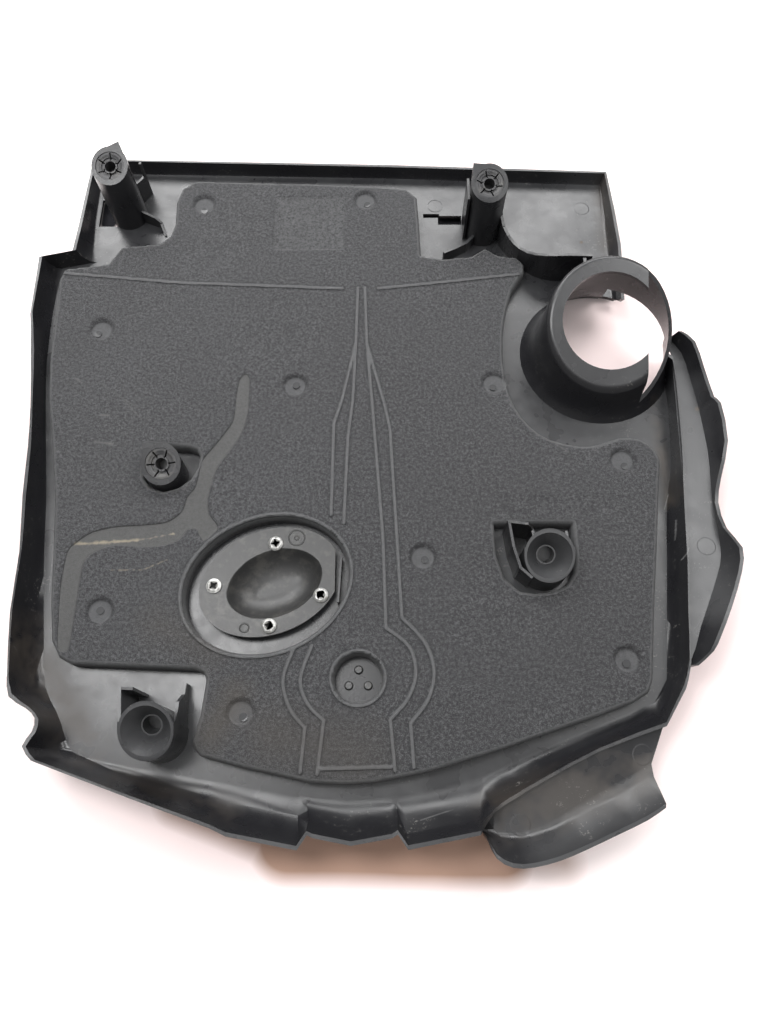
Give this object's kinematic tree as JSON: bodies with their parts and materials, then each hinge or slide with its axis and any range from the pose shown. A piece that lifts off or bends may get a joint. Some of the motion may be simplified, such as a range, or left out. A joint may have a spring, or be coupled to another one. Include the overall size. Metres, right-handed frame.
{
  "type": "engine cover",
  "caption": "Moulded engine cover lying on its outer face, inside up, with a foam mat, ball-stud sockets, funnel cups, a filler collar and a badge carrier.",
  "frame": {"origin": "middle of the part's plan, on the plane it lies on", "axes": "+Z out of the inner side, away from the engine-bay face; +Y towards the edge with the two rear sockets; +X towards the filler collar"},
  "size_m": [0.5022, 0.5328, 0.0704],
  "materials": {
    "shell": "satin, fine grain",
    "mat": "moulded foam with a skin",
    "bush": "matt",
    "carrier": "satin",
    "steel": "bright zinc",
    "badge": "gloss"
  },
  "bodies": {
    "root": {"cover_shell": "shell", "foam_mat": "mat", "ball_bush_rear_left": "bush", "ball_bush_rear_right": "bush", "ball_bush_side": "bush", "badge_carrier": "carrier", "badge_screw_rear": "steel", "badge_screw_left": "steel", "badge_screw_right": "steel", "badge_screw_front": "steel", "round_badge": "badge"}
  },
  "joints": []
}
